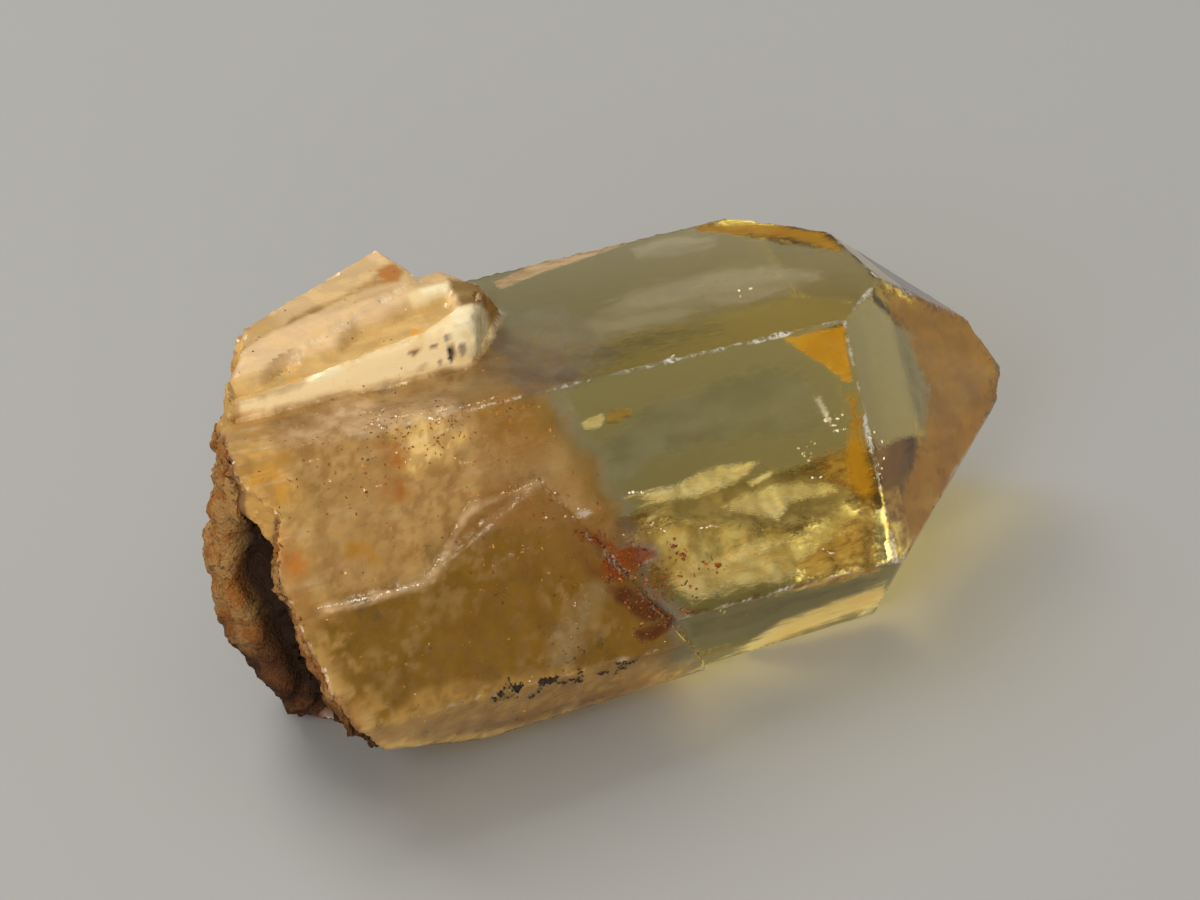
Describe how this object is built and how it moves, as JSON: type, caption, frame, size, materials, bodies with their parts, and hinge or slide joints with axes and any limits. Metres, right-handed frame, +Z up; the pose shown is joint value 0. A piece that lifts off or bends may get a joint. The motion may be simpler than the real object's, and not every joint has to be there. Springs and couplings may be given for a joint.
{
  "type": "citrine crystal point",
  "caption": "Clear honey-yellow quartz crystal lying on a prism face, with a six-faced tip, small side crystals and a rough broken root.",
  "frame": {"origin": "middle of the underside of the crystal's box, on the plane of its resting face", "axes": "+X along the crystal's length towards its tip, +Z up out of the resting face, +Y towards the back"},
  "size_m": [0.0454, 0.0232, 0.0176],
  "materials": {
    "citrine": "polished natural crystal faces, cloudy and iron-stained towards the rough root"
  },
  "bodies": {
    "root": {"citrine_crystal": "citrine"}
  },
  "joints": []
}
